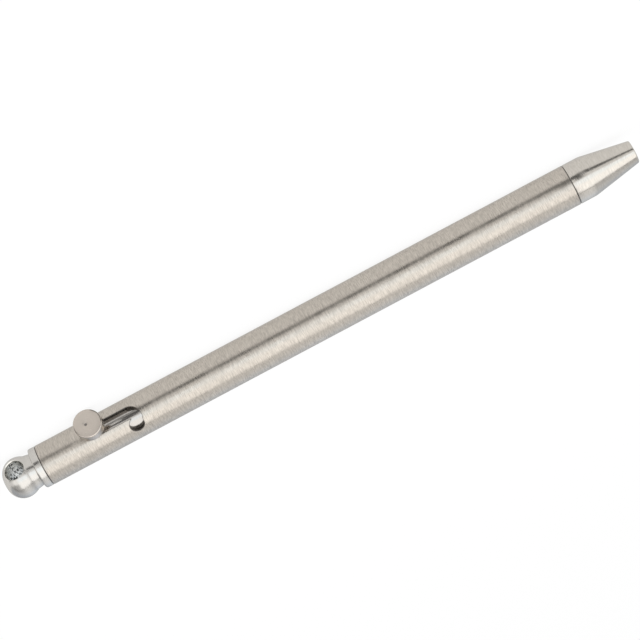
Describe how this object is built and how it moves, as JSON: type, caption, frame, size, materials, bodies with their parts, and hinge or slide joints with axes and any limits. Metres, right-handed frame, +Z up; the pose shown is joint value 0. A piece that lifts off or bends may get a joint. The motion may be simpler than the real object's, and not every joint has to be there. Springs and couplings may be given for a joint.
{
  "type": "keychain ballpoint pen",
  "caption": "Slim steel pocket pen whose bolt slides and hooks in a J-shaped slot to push the tip out, with a drilled ball at its tail for a key ring.",
  "frame": {"origin": "on the surface that the pen lies on, below the middle of its box", "axes": "+X along the pen towards its key ring ball, -X towards the writing tip, -Y towards the side that the bolt knob lies on, +Z up from the surface"},
  "size_m": [0.099, 0.01, 0.006],
  "materials": {
    "barrel_steel": "fine brushed round the pen",
    "turned_steel": "fine turned, semi-bright",
    "polished_steel": "polished",
    "spring_wire": "drawn wire",
    "refill_steel": "drawn tube",
    "tip_brass": "turned",
    "ball_carbide": "polished",
    "ink": "wet paste ink"
  },
  "bodies": {
    "barrel": {"barrel": "barrel_steel", "tail_cap": "polished_steel", "return_spring": "spring_wire"},
    "bolt": {"plunger": "barrel_steel", "bolt_knob": "turned_steel"},
    "refill": {"refill_tube": "refill_steel", "refill_tip": "tip_brass", "ink_column": "ink"},
    "writing_ball": {"writing_ball": "ball_carbide"},
    "nose_cone": {"nose_cone": "turned_steel"}
  },
  "joints": [
    {"name": "bolt_slide", "type": "slide", "parent": "barrel", "child": "bolt", "axis": [-1, 0, 0], "range_m": [0, 0.0052], "stiffness_N_per_m": 150, "springref_m": -0.002, "deforming": ["return_spring"]},
    {"name": "refill_slide", "type": "slide", "parent": "barrel", "child": "refill", "axis": [-1, 0, 0], "range_m": [0, 0.0052]},
    {"name": "ball_roll", "type": "hinge", "parent": "refill", "child": "writing_ball", "pos_m": [-0.04675, 0.00204, 0.003], "axis": [0, 1, 0], "continuous": true},
    {"name": "nose_draw_off", "type": "slide", "parent": "barrel", "child": "nose_cone", "axis": [-1, 0, 0], "range_m": [0, 0.006]}
  ],
  "couplings": [
    {"joint": "refill_slide", "follows": "bolt_slide", "ratio": 1}
  ]
}
